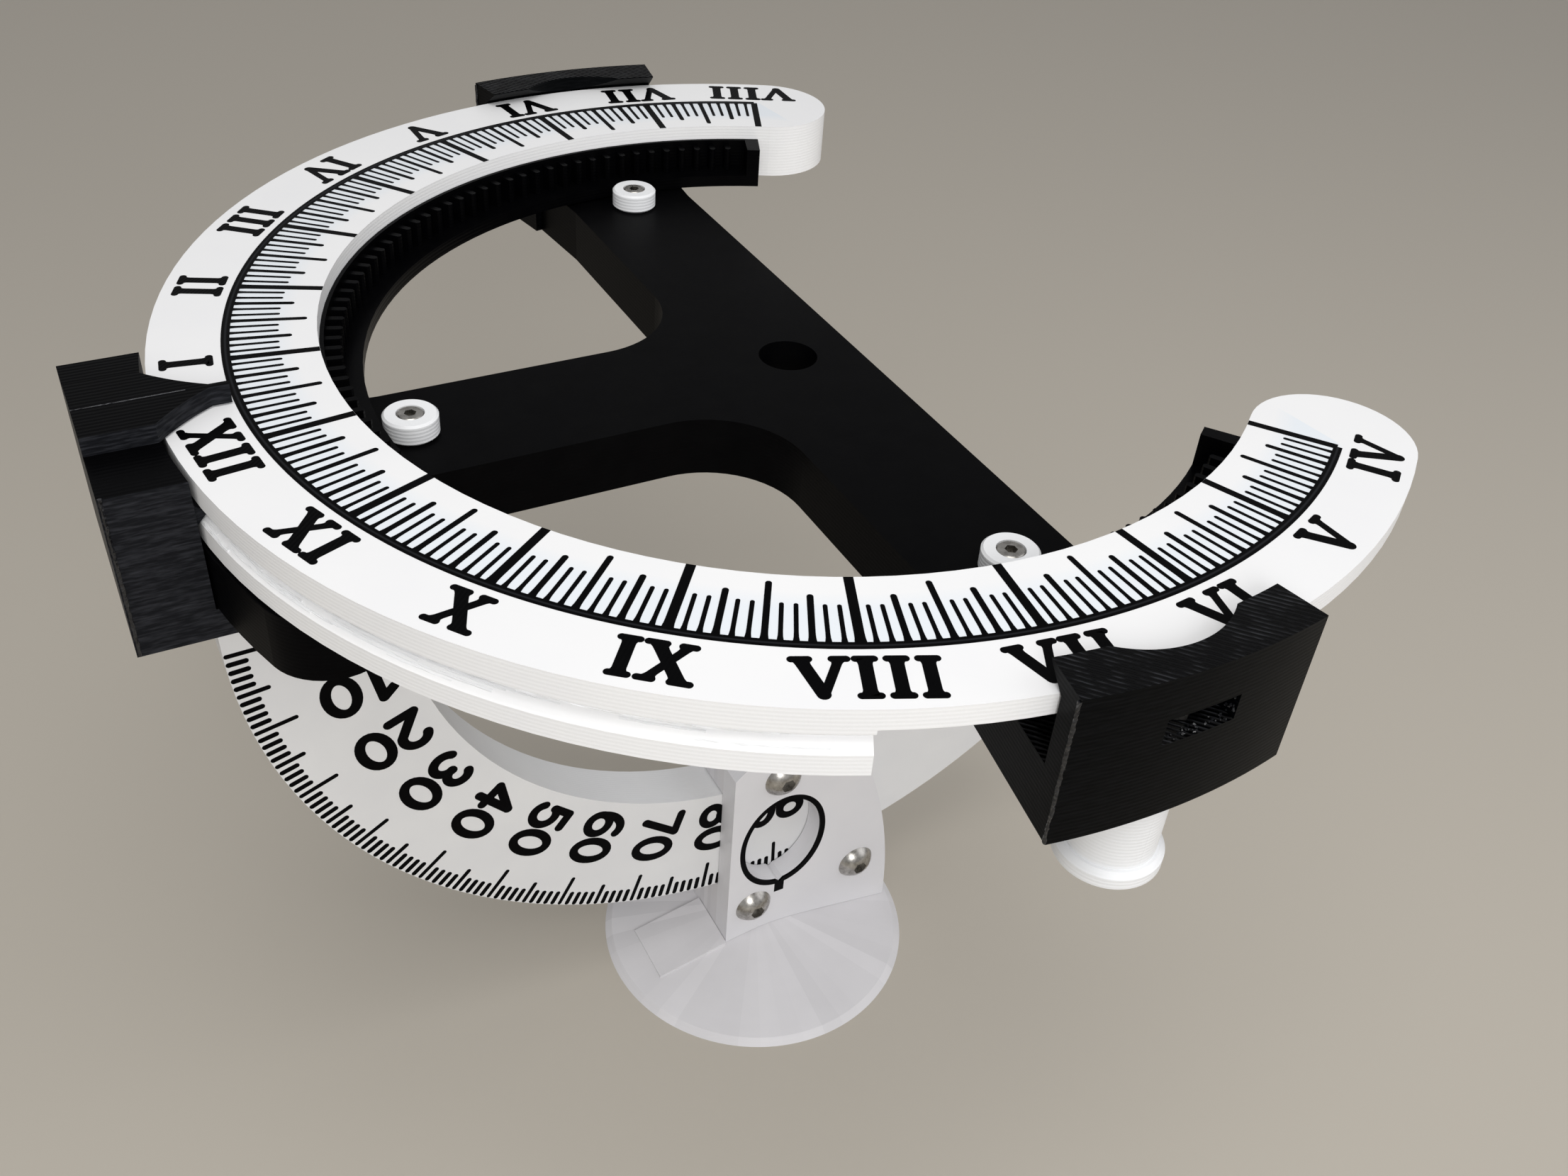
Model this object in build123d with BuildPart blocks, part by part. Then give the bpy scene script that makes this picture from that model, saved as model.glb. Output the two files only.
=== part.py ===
from build123d import *
import os
from math import sqrt

os.makedirs("parts", exist_ok=True)

# A heliochronometer: an hour ring that turns in three guide blocks on a T-shaped
# plate, tilted for latitude by a bow that slides through a pillar on a round foot.
# Millimetres. The origin is the centre of the foot's underside, +Z is up, +X points
# to the noon arm and +Y to the morning arm. Levels are measured up from the top face
# of the hour ring, and reaches are radii about the dial axis.

# Overall places
dial_axis_y = -3.4          # dial axis and bow stand behind the middle of the foot
pivot_drop = 33.7           # centre of the bow below the top face of the hour ring
bow_lift = 16.9             # lowest point of the bow above the table
ring_rest_turn = 6.88       # the hour ring is set this far towards the morning arm

# Hour ring
ring_inner = 68.0
ring_outer = 90.0
ring_thickness = 2.9
ring_rack_seat = 2.4        # thickness left over the rack
ring_depth = 9.4            # full height at the end caps and the skirt
cap_angle = 120.0           # the full height caps start here
end_centre_angle = 121.8231 # centre of the round end, past the start of its cap
skirt_angle = 60.4
skirt_wall = 4.0
groove_top = -3.5
groove_depth = 1.5

# Rack ring under the hour ring
rack_pitch = 2.5            # one tooth for ten minutes of time
rack_last_tooth = 115.0
rack_cavity_angle = 117.9
rack_seat_width = 6.0
rack_rim_show = 0.6         # the rim shows this far inside the hour ring
rack_rim = 0.8
tooth_reach = 2.4
tooth_width = 1.0
tooth_nose = 0.3            # taken off both corners of a tooth's nose
rack_flange = 2.0
flange_reach = 2.4          # past the teeth
rack_lift = 0.1             # rack above the lower face of the end caps
seat_clearance = 0.1        # between printed pieces that are screwed or glued together

# Guide rollers
roller_radius = 3.8
roller_height = 3.1
roller_edge = 0.3
rolling_gap = 0.3           # roller to rack flange
roller_head_seat = 1.2
roller_head_web = 0.5       # steel left under the socket
roller_float = 0.1
running_clearance = 0.05

# T plate
plate_gap = 0.4             # plate to the ring's end caps
plate_thickness = 9.0
arm_half_width = 11.0
arm_flare_length = 15.0
arm_flare_half_width = 12.5
arm_fillet = 14.0
foot_width = 19.4
foot_overhang = 0.4         # past the hour ring
foot_half_angle = 25.0
foot_corner = 8.0
foot_fillet = 8.0
centre_bore = 9.0
tongue_half_width = 9.0
tongue_thickness = 4.5

# Side blocks, six o'clock morning and evening. Reaches are given from the ring's outer edge
block_half_angle = 10.45
block_length = 16.45        # under the ring
block_wall = 3.65
rim_gap = 0.45              # ring to the wall
block_top = 2.6
lip_overlap = 2.8
lip_edge = 2.45             # level of the lip's lower edge
lip_bend_overlap = 0.8
lip_bend = 0.9
lip_root_gap = 0.1
lip_root = 0.25
scallop_inset = 13.5
scallop_radius = 13.6
boss_inset = 12.0
boss_half_width = 10.3
boss_gap = 0.3              # boss to the underside of the ring
slot_roof = 0.3             # top of the boss over the nut's slot
slot_height = 3.7
tongue_gap = 0.2            # tongue to the end of its pocket

# Clamp in the morning block
clamp_inset = 3.8
clamp_thread_radius = 3.0
clamp_screw_length = 25.0
clamp_head_radius = 5.0
clamp_head_height = 4.0
clamp_hex = 4.0
clamp_hex_depth = 2.3
clamp_hole_radius = 3.3
nut_flats = 10.0
nut_thickness = 3.2
nut_slot_clearance = 0.15
nut_lift = 0.05             # nut above the floor of its slot
knob_gap = 0.3
knob_length = 14.9
knob_wall = 0.7
knob_lip = 1.1
knob_lip_height = 3.0
knob_lip_edge = 0.7

# Noon block
noon_half_width = 16.45
noon_rim_gap = 0.7
noon_thickness = 8.6
noon_plateau = 0.35
noon_below_plate = 4.4
noon_hook_cover = 1.8       # the block's lower part laps over the bow's edge
rib_half_width = 6.7
rib_top = 2.95
nose_bottom = 0.3
nose_reach = 9.2            # over the ring
nose_shoulder_reach = 6.8
nose_tip_half_width = 0.45
nose_waist_reach = 2.6
nose_waist_half_width = 3.45
index_groove_width = 0.4
index_groove_depth = 0.4
index_groove_reach = 4.2
noon_tongue_wall = 2.3      # block in front of the tongue's pocket
ridge_gap = 0.6             # noon ridge to the skirt groove, measured along the radius
ridge_half_angle = 10.0
ridge_root = 0.3            # the ridge is sunk this far into the block

# Latitude bow
bow_inset = 1.2             # bow inside the hour ring's outer edge
bow_width = 24.4
bow_thickness = 8.8
bow_end_angle = 140.0
bow_end_round = 5.0

# Foot and pillar
foot_radius = 30.1
rim_radius = 28.8
rim_height = 1.1
cone_slope = 0.2
pad_end = 23.7
pad_half_width = 6.2
pad_rise = 0.35
pillar_left = 9.4
pillar_head = 13.6          # top of the pillar above the bow's inner edge
pillar_left_shoulder = 5.5  # corners below the top
pillar_right_shoulder = 7.5
pillar_right = -17.0
pillar_bulge = (-24.6, 30.0)
pillar_right_foot = -27.3
pillar_crown = -2.0         # highest point of the rounded top
pillar_root = 1.0           # the pillar starts inside the foot
pillar_back_wall = 4.4
cover_thickness = 4.6
bow_side_gap = 0.2
bow_edge_gap = 0.3
channel_half_angle = 60.0
cover_lower_offset = 4.0    # the lower screws stand this far outside the bow
cover_top_offset = 4.9      # and the top one this far inside it
cover_lower_screws = (-19.3, 3.7)
cover_top_screw = -0.6

# Window in the cover
window_middle = -1.75
window_width = 18.4         # over the black line
window_rise = 24.0
window_line = 1.1
window_inlay = 0.4
pointer_width = 2.1
pointer_length = 2.3
pointer_notch = 1.1         # side of the square whose corner notches the window's lower edge

# Metric fasteners
m3_radius = 1.5
m3_flat_hex = 2.0
m3_flat_hex_depth = 1.15
m3_cap_radius = 2.75
m3_cap_height = 3.0
m3_cap_hex = 2.5
m3_flat_radius = 2.75
m3_flat_height = 1.65
m4_radius = 2.0
m4_button_radius = 3.8
m4_button_height = 2.2
m4_hex = 2.5
m4_hex_depth = 1.5
m4_nut_flats = 7.0
m4_nut_height = 3.2
m2_radius = 1.0
m2_cap_radius = 1.85
m2_cap_edge = 0.2
m2_hex = 1.5
thread_gap = 0.02           # screw thread to the wall that it is cut into
hole_gap = 0.1
block_screw_cover = 1.0     # plate left over the screws' ends
bow_screw_length = 16.0
roller_screw_length = 10.0
block_screw_inset = 5.0     # from the block's inner end
block_screw_side = 5.0
noon_screw_inset = 3.0      # from the end of the tongue's pocket
bow_screw_insets = (6.6, 6.8)

# What follows from them
rack_outer = ring_inner + rack_seat_width
rack_rim_inner = ring_inner - rack_rim_show
tooth_tip = rack_rim_inner - tooth_reach
flange_inner = tooth_tip - flange_reach
roller_reach = flange_inner - rolling_gap - roller_radius
rack_bottom = rack_lift - ring_depth
plate_top = -ring_depth - plate_gap
plate_bottom = plate_top - plate_thickness
block_wall_inner = ring_outer + rim_gap
block_inner = block_wall_inner - block_length
block_outer = block_wall_inner + block_wall
boss_inner = ring_outer - boss_inset
boss_top = -ring_thickness - boss_gap
slot_top = boss_top - slot_roof
foot_outer = ring_outer + foot_overhang
foot_inner = foot_outer - foot_width
clamp_reach = ring_outer - clamp_inset
knob_radius = clamp_head_radius + seat_clearance + knob_wall
knob_top = plate_bottom - knob_gap
knob_bottom = knob_top - knob_length
bow_outer = ring_outer - bow_inset
bow_inner = bow_outer - bow_width
bow_screw_places = (bow_inner + bow_screw_insets[0], bow_outer - bow_screw_insets[1])
noon_inner = ring_outer + noon_rim_gap
noon_face = noon_inner + noon_thickness
noon_bottom = plate_bottom - noon_below_plate
noon_hook = bow_outer - noon_hook_cover
noon_tongue_end = noon_face - noon_tongue_wall
noon_screw_reach = noon_tongue_end - noon_screw_inset
nose_tip = ring_outer - nose_reach
block_screw_reach = block_inner + block_screw_inset
dial_height = pivot_drop + bow_outer + bow_lift
pillar_top = pillar_head - pivot_drop - bow_inner
pillar_back = bow_thickness / 2 + pillar_back_wall
cover_back = bow_thickness / 2 + bow_side_gap
cover_front = cover_back + cover_thickness
ring_middle = (ring_inner + ring_outer) / 2
ring_half_width = (ring_outer - ring_inner) / 2
hex_corner = 2 / sqrt(3)
block_screw_length = plate_thickness - block_screw_cover
morning = 90.0
noon = 0.0
evening = -90.0
downwards = -90.0            # in the side view
block_screw_places = (
    (morning, block_screw_reach), (evening, block_screw_reach), (noon, noon_screw_reach)
)

dial_plane = Plane(origin=(0, dial_axis_y, dial_height), x_dir=(1, 0, 0), z_dir=(0, 0, 1))
ring_plane = dial_plane.rotated((0, 0, ring_rest_turn))
dial_axis = Axis((0, dial_axis_y, 0), (0, 0, 1))
side_plane = Plane(origin=(0, dial_axis_y, dial_height), x_dir=(1, 0, 0), z_dir=(0, -1, 0))
bow_plane = Plane(
    origin=(0, dial_axis_y, dial_height - pivot_drop), x_dir=(1, 0, 0), z_dir=(0, -1, 0)
)


# A plane that stands on the dial axis: its x runs outwards and its y runs up
def section_plane(angle):
    outwards = Vector(1, 0, 0).rotate(Axis.Z, angle)
    sideways = Vector(0, -1, 0).rotate(Axis.Z, angle)
    return Plane(origin=(0, dial_axis_y, dial_height), x_dir=outwards, z_dir=sideways)


# The dial plane turned so that its x runs along one arm
def arm_plane(angle):
    return dial_plane.rotated((0, 0, angle))


# Flat sector of a ring between two angles
def ring_sector(inner, outer, start, end):
    with BuildSketch() as sector:
        with BuildLine():
            outer_edge = CenterArc((0, 0), outer, start, end - start)
            inner_edge = CenterArc((0, 0), inner, start, end - start)
            Line(outer_edge @ 0, inner_edge @ 0)
            Line(outer_edge @ 1, inner_edge @ 1)
        make_face()
    return sector.sketch


# Round end of the hour ring on one side of noon
def ring_end(side):
    with BuildSketch() as end:
        add(ring_sector(ring_inner, ring_outer, *sorted((side * cap_angle, side * end_centre_angle))))
        with Locations(Vector(ring_middle, 0).rotate(Axis.Z, side * end_centre_angle)):
            Circle(ring_half_width)
        add(ring_sector(ring_inner - 1, ring_outer + 1, *sorted((side * cap_angle, side * skirt_angle))),
            mode=Mode.SUBTRACT)
    return end.sketch


# Hour ring with its rack seat, end caps and grooved skirt
groove_bottom = groove_top - 2 * groove_depth
with BuildPart() as dial_ring:
    with BuildSketch(ring_plane):
        add(ring_sector(ring_inner, ring_outer, -end_centre_angle, end_centre_angle))
        for side in (-1, 1):
            add(ring_end(side))
    extrude(amount=-ring_thickness)
    with BuildSketch(ring_plane.offset(-ring_thickness)):
        add(ring_sector(ring_inner - 1, rack_outer, -cap_angle, cap_angle))
    extrude(amount=ring_thickness - ring_rack_seat, mode=Mode.SUBTRACT)
    with BuildSketch(ring_plane.offset(-ring_thickness)):
        add(ring_sector(ring_outer - skirt_wall, ring_outer, -skirt_angle, skirt_angle))
        for side in (-1, 1):
            add(ring_end(side))
    extrude(amount=ring_thickness - ring_depth)
    with BuildSketch(section_plane(ring_rest_turn - skirt_angle - 1)):
        Polygon(
            (ring_outer + 1, groove_top + 1),
            (ring_outer - groove_depth, (groove_top + groove_bottom) / 2),
            (ring_outer + 1, groove_bottom - 1),
            align=None,
        )
    revolve(axis=dial_axis, revolution_arc=2 * skirt_angle + 2, mode=Mode.SUBTRACT)
dial_ring.part.label = "dial_ring"


# Rack ring: a channel with blunt-nosed teeth inside, closed by a wall at each end
rack_top = -ring_rack_seat
rack_wall_outer = rack_outer - seat_clearance
teeth = round(2 * rack_last_tooth / rack_pitch) + 1
tooth_length = rack_rim_inner + tooth_width - tooth_tip
with BuildSketch() as tooth:
    Rectangle(tooth_length, tooth_width)
    chamfer(tooth.vertices().group_by(Axis.X)[0], tooth_nose)
with BuildPart() as rack_ring:
    with BuildSketch(ring_plane.offset(rack_top)):
        add(ring_sector(rack_rim_inner, rack_wall_outer, -cap_angle, cap_angle))
    extrude(amount=-rack_rim)
    with BuildSketch(ring_plane.offset(rack_top - rack_rim)):
        add(ring_sector(rack_rim_inner, rack_wall_outer, -cap_angle, cap_angle))
        with PolarLocations(tooth_tip + tooth_length / 2, teeth, -rack_last_tooth,
                            2 * rack_last_tooth, endpoint=True):
            add(tooth.sketch)
    extrude(amount=rack_bottom + rack_flange - rack_top + rack_rim)
    with BuildSketch(ring_plane.offset(rack_bottom)):
        add(ring_sector(flange_inner, rack_wall_outer, -cap_angle, cap_angle))
    extrude(amount=rack_flange)
    with BuildSketch(ring_plane.offset(rack_bottom)):
        add(ring_sector(flange_inner, rack_wall_outer, -cap_angle, -rack_cavity_angle))
        add(ring_sector(flange_inner, rack_wall_outer, rack_cavity_angle, cap_angle))
    extrude(amount=rack_top - rack_bottom)
rack_ring.part.label = "rack_ring"


# T plate
with BuildPart() as t_plate:
    with BuildSketch(dial_plane.offset(plate_top)) as plate_outline:
        with BuildLine():
            Polyline(
                (-arm_half_width, arm_flare_length - block_inner),
                (-arm_flare_half_width, -block_inner - 1),
                (arm_flare_half_width, -block_inner - 1),
                (arm_half_width, arm_flare_length - block_inner),
                (arm_half_width, block_inner - arm_flare_length),
                (arm_flare_half_width, block_inner + 1),
                (-arm_flare_half_width, block_inner + 1),
                (-arm_half_width, block_inner - arm_flare_length),
                close=True,
            )
        make_face()
        Circle(block_inner - seat_clearance, mode=Mode.INTERSECT)
        with Locations(((foot_inner + foot_outer) / 4, 0)):
            Rectangle((foot_inner + foot_outer) / 2, 2 * arm_half_width)
        inner_corners = [
            corner
            for corner in plate_outline.vertices()
            if abs(corner.X - arm_half_width) < 0.01 and abs(abs(corner.Y) - arm_half_width) < 0.01
        ]
        fillet(inner_corners, arm_fillet)
    extrude(amount=-plate_thickness)
    with BuildSketch(dial_plane.offset(plate_top)) as noon_foot:
        add(ring_sector(foot_inner, foot_outer, -foot_half_angle, foot_half_angle))
        fillet(noon_foot.vertices(), foot_corner)
    extrude(amount=-plate_thickness)
    foot_corners = (
        t_plate.edges().filter_by(Axis.Z)
        .filter_by(lambda edge: abs(abs(edge.center().Y - dial_axis_y) - arm_half_width) < 0.01)
        .filter_by(lambda edge: edge.center().X > foot_inner - foot_fillet)
    )
    fillet(foot_corners, foot_fillet)
    for angle, reach in ((morning, block_wall_inner), (evening, block_wall_inner), (noon, noon_tongue_end)):
        tongue_end = reach - tongue_gap
        with BuildSketch(arm_plane(angle).offset(plate_top)):
            with Locations(((roller_reach + tongue_end) / 2, 0)):
                Rectangle(tongue_end - roller_reach, 2 * tongue_half_width)
        extrude(amount=-tongue_thickness)
    with Locations(dial_plane.offset(plate_top)):
        Hole(centre_bore / 2, depth=plate_thickness)
        with PolarLocations(roller_reach, 3, evening, 180, endpoint=True):
            Hole(m2_radius + thread_gap, depth=roller_screw_length)
        with Locations(*[(place, 0) for place in bow_screw_places]):
            CounterBoreHole(m3_radius + hole_gap, m3_cap_radius + hole_gap,
                            m3_cap_height + hole_gap, depth=plate_thickness)
    with Locations(arm_plane(morning).offset(plate_top)):
        with Locations((clamp_reach, 0)):
            Hole(clamp_hole_radius, depth=tongue_thickness)
    for angle, reach in block_screw_places:
        with BuildSketch(arm_plane(angle).offset(plate_bottom)):
            with Locations((reach, -block_screw_side), (reach, block_screw_side)):
                Circle(m3_radius + thread_gap)
        extrude(amount=block_screw_length + hole_gap, mode=Mode.SUBTRACT)
t_plate.part.label = "t_plate"


# Half angle of the flat heads' cones
flat_taper = 90 - Vector(m3_flat_height, m3_flat_radius - m3_radius).get_angle(Vector(0, 1))


# One side block: a foot under the plate, an outer wall and two lips over the hour ring
def make_side_block(angle, clamped):
    with BuildPart() as block:
        with BuildSketch(section_plane(angle - block_half_angle)):
            with BuildLine():
                Polyline(
                    (block_inner, plate_bottom),
                    (block_outer, plate_bottom),
                    (block_outer, block_top),
                    (ring_outer - lip_overlap, block_top),
                    (ring_outer - lip_overlap, lip_edge),
                    (ring_outer - lip_bend_overlap, lip_bend),
                    (ring_outer + lip_root_gap, lip_root),
                    (block_wall_inner, 0),
                    (block_wall_inner, plate_top),
                    (block_inner, plate_top),
                    close=True,
                )
            make_face()
        revolve(axis=dial_axis, revolution_arc=2 * block_half_angle)
        with BuildSketch(arm_plane(angle)):
            with Locations((ring_outer - scallop_inset, 0)):
                Circle(scallop_radius)
        extrude(amount=block_top, mode=Mode.SUBTRACT)
        pocket_depth = tongue_thickness + seat_clearance
        with BuildSketch(arm_plane(angle).offset(plate_top)):
            with Locations(((block_inner + block_wall_inner) / 2, 0)):
                Rectangle(block_wall_inner - block_inner + 2, 2 * (tongue_half_width + seat_clearance))
        extrude(amount=-pocket_depth, mode=Mode.SUBTRACT)
        with BuildSketch(arm_plane(angle).offset(plate_top)):
            with Locations(((boss_inner + block_wall_inner + 1) / 2, 0)):
                Rectangle(block_wall_inner + 1 - boss_inner, 2 * boss_half_width)
        extrude(amount=boss_top - plate_top)
        with BuildSketch(arm_plane(angle).offset(plate_bottom)):
            with Locations((block_screw_reach, -block_screw_side), (block_screw_reach, block_screw_side)):
                Circle(m3_flat_radius + hole_gap)
        extrude(amount=m3_flat_height, taper=flat_taper, mode=Mode.SUBTRACT)
        with BuildSketch(arm_plane(angle).offset(plate_bottom)):
            with Locations((block_screw_reach, -block_screw_side), (block_screw_reach, block_screw_side)):
                Circle(m3_radius + hole_gap)
        extrude(amount=plate_thickness - tongue_thickness, mode=Mode.SUBTRACT)
        if clamped:
            with BuildSketch(arm_plane(angle).offset(plate_bottom)):
                with Locations((clamp_reach, 0)):
                    Circle(clamp_hole_radius)
            extrude(amount=boss_top - plate_bottom, mode=Mode.SUBTRACT)
            slot_width = nut_flats + 2 * nut_slot_clearance
            with BuildSketch(arm_plane(angle).offset(slot_top)):
                with Locations((clamp_reach, 0)):
                    RegularPolygon(slot_width / 2 * hex_corner, 6)
                with Locations(((clamp_reach + block_outer + 1) / 2, 0)):
                    Rectangle(block_outer + 1 - clamp_reach, slot_width)
            extrude(amount=-slot_height, mode=Mode.SUBTRACT)
    return block.part


morning_block = make_side_block(morning, True)
morning_block.label = "morning_block"
evening_block = make_side_block(evening, False)
evening_block.label = "evening_block"


# Noon block: body with a raised index rib, a pointed nose over the ring and a hook below
with BuildPart() as noon_block:
    with BuildSketch(dial_plane.offset(noon_plateau)):
        with Locations(((noon_hook + noon_face) / 2, 0)):
            Rectangle(noon_face - noon_hook, 2 * noon_half_width)
        Circle(noon_inner, mode=Mode.SUBTRACT)
    extrude(amount=noon_bottom - noon_plateau)
    with BuildSketch(dial_plane.offset(noon_bottom)):
        with Locations(((noon_hook + noon_face) / 2, 0)):
            Rectangle(noon_face - noon_hook, 2 * noon_half_width)
    extrude(amount=plate_bottom - noon_bottom)
    with BuildSketch(dial_plane.offset(nose_bottom)):
        with BuildLine():
            nose_side = ThreePointArc(
                (ring_outer - nose_shoulder_reach, nose_tip_half_width),
                (ring_outer - nose_waist_reach, nose_waist_half_width),
                (noon_inner, rib_half_width),
            )
            Polyline(nose_side @ 1, (noon_face, rib_half_width), (noon_face, 0), (nose_tip, 0),
                     (nose_tip, nose_tip_half_width), nose_side @ 0)
        make_face()
        mirror(about=Plane.XZ)
    extrude(amount=rib_top - nose_bottom)
    with BuildSketch(dial_plane.offset(rib_top)):
        with Locations((noon_face, 0)):
            Rectangle(2 * (noon_face - ring_outer + index_groove_reach), index_groove_width)
    extrude(amount=-index_groove_depth, mode=Mode.SUBTRACT)
    ridge_tip = ring_outer - groove_depth + ridge_gap
    ridge_level = (groove_top + groove_bottom) / 2
    ridge_base = noon_inner + ridge_root
    with BuildSketch(section_plane(-ridge_half_angle)):
        Polygon(
            (ridge_tip, ridge_level),
            (ridge_base, ridge_level + ridge_base - ridge_tip),
            (ridge_base, ridge_level - ridge_base + ridge_tip),
            align=None,
        )
    revolve(axis=dial_axis, revolution_arc=2 * ridge_half_angle)
    with BuildSketch(dial_plane.offset(plate_top)):
        with Locations(((noon_hook + noon_tongue_end) / 2, 0)):
            Rectangle(noon_tongue_end - noon_hook, 2 * (tongue_half_width + seat_clearance))
    extrude(amount=-tongue_thickness - seat_clearance, mode=Mode.SUBTRACT)
    with BuildSketch(dial_plane.offset(noon_bottom)):
        with Locations((noon_screw_reach, -block_screw_side), (noon_screw_reach, block_screw_side)):
            Circle(m3_flat_radius + hole_gap)
    extrude(amount=plate_bottom - noon_bottom, mode=Mode.SUBTRACT)
    with BuildSketch(dial_plane.offset(plate_bottom)):
        with Locations((noon_screw_reach, -block_screw_side), (noon_screw_reach, block_screw_side)):
            Circle(m3_flat_radius + hole_gap)
    extrude(amount=m3_flat_height, taper=flat_taper, mode=Mode.SUBTRACT)
    with BuildSketch(dial_plane.offset(plate_bottom)):
        with Locations((noon_screw_reach, -block_screw_side), (noon_screw_reach, block_screw_side)):
            Circle(m3_radius + hole_gap)
    extrude(amount=plate_thickness - tongue_thickness, mode=Mode.SUBTRACT)
noon_block.part.label = "noon_block"


# Six flat-head screws that hold the three blocks to the plate's tongues
with BuildPart() as block_screws:
    for angle, reach in block_screw_places:
        with BuildSketch(arm_plane(angle).offset(plate_bottom)):
            with Locations((reach, -block_screw_side), (reach, block_screw_side)):
                Circle(m3_flat_radius)
        extrude(amount=m3_flat_height, taper=flat_taper)
        with BuildSketch(arm_plane(angle).offset(plate_bottom)):
            with Locations((reach, -block_screw_side), (reach, block_screw_side)):
                Circle(m3_radius)
        extrude(amount=block_screw_length)
        with BuildSketch(arm_plane(angle).offset(plate_bottom)):
            with Locations((reach, -block_screw_side), (reach, block_screw_side)):
                RegularPolygon(m3_flat_hex / 2 * hex_corner, 6)
        extrude(amount=m3_flat_hex_depth, mode=Mode.SUBTRACT)
block_screws.part.label = "block_screws"


# Clamp nut, screw and knob under the morning block
clamp_plane = arm_plane(morning)
nut_bottom = slot_top - slot_height + nut_lift
with BuildPart() as clamp_nut:
    with BuildSketch(clamp_plane.offset(nut_bottom)):
        with Locations((clamp_reach, 0)):
            RegularPolygon(nut_flats / 2 * hex_corner, 6)
            Circle(clamp_thread_radius + running_clearance, mode=Mode.SUBTRACT)
    extrude(amount=nut_thickness)
clamp_nut.part.label = "clamp_nut"

screw_seat = boss_top - clamp_screw_length
with BuildPart() as clamp_screw:
    with BuildSketch(clamp_plane.offset(screw_seat)):
        with Locations((clamp_reach, 0)):
            Circle(clamp_thread_radius)
    extrude(amount=clamp_screw_length)
    with BuildSketch(clamp_plane.offset(screw_seat)):
        with Locations((clamp_reach, 0)):
            Circle(clamp_head_radius)
    extrude(amount=-clamp_head_height)
    with BuildSketch(clamp_plane.offset(screw_seat - clamp_head_height)):
        with Locations((clamp_reach, 0)):
            RegularPolygon(clamp_hex / 2 * hex_corner, 6)
    extrude(amount=clamp_hex_depth, mode=Mode.SUBTRACT)
clamp_screw.part.label = "clamp_screw"

with BuildPart() as clamp_knob:
    with BuildSketch(clamp_plane.offset(knob_top)):
        with Locations((clamp_reach, 0)):
            Circle(knob_radius)
    extrude(amount=knob_bottom - knob_top)
    with BuildSketch(clamp_plane.offset(knob_bottom)):
        with Locations((clamp_reach, 0)):
            Circle(knob_radius + knob_lip)
    extrude(amount=knob_lip_height)
    knob_edges = clamp_knob.edges().filter_by(GeomType.CIRCLE)
    lip_edges = knob_edges.filter_by(lambda edge: abs(edge.radius - knob_radius - knob_lip) < 0.01)
    chamfer(lip_edges, knob_lip_edge)
    with BuildSketch(clamp_plane.offset(knob_top)):
        with Locations((clamp_reach, 0)):
            Circle(clamp_thread_radius + running_clearance)
    extrude(amount=knob_bottom - knob_top, mode=Mode.SUBTRACT)
    with BuildSketch(clamp_plane.offset(screw_seat)):
        with Locations((clamp_reach, 0)):
            Circle(clamp_head_radius + seat_clearance)
    extrude(amount=knob_bottom - screw_seat, mode=Mode.SUBTRACT)
clamp_knob.part.label = "clamp_knob"


# Guide rollers and the socket screws that they turn on
roller_bottom = plate_top + roller_float
roller_top = roller_bottom + roller_height
head_seat = roller_bottom + roller_head_seat


def make_roller(angle):
    with BuildPart() as roller:
        with BuildSketch(arm_plane(angle).offset(roller_bottom)):
            with Locations((roller_reach, 0)):
                Circle(roller_radius)
        extrude(amount=roller_height)
        chamfer(roller.edges().filter_by(GeomType.CIRCLE), roller_edge)
        with BuildSketch(arm_plane(angle).offset(roller_top)):
            with Locations((roller_reach, 0)):
                Circle(m2_cap_radius + hole_gap)
        extrude(amount=head_seat - roller_top, mode=Mode.SUBTRACT)
        with BuildSketch(arm_plane(angle).offset(roller_top)):
            with Locations((roller_reach, 0)):
                Circle(m2_radius + running_clearance)
        extrude(amount=-roller_height, mode=Mode.SUBTRACT)
    return roller.part


roller_noon = make_roller(noon)
roller_noon.label = "roller_noon"
roller_morning = make_roller(morning)
roller_morning.label = "roller_morning"
roller_evening = make_roller(evening)
roller_evening.label = "roller_evening"

with BuildPart() as roller_screws:
    with BuildSketch(dial_plane.offset(head_seat + roller_float)):
        with PolarLocations(roller_reach, 3, evening, 180, endpoint=True):
            Circle(m2_radius)
    extrude(amount=-roller_screw_length)
    with BuildSketch(dial_plane.offset(head_seat + roller_float)):
        with PolarLocations(roller_reach, 3, evening, 180, endpoint=True):
            Circle(m2_cap_radius)
            RegularPolygon(m2_hex / 2 * hex_corner, 6, mode=Mode.SUBTRACT)
    extrude(amount=roller_top - head_seat - roller_float)
    with BuildSketch(dial_plane.offset(head_seat + roller_float)):
        with PolarLocations(roller_reach, 3, evening, 180, endpoint=True):
            Circle(m2_cap_radius)
    extrude(amount=roller_head_web)
    head_rims = roller_screws.edges().filter_by(GeomType.CIRCLE).group_by(Axis.Z)[-1]
    chamfer(head_rims, m2_cap_edge)
roller_screws.part.label = "roller_screws"


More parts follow.
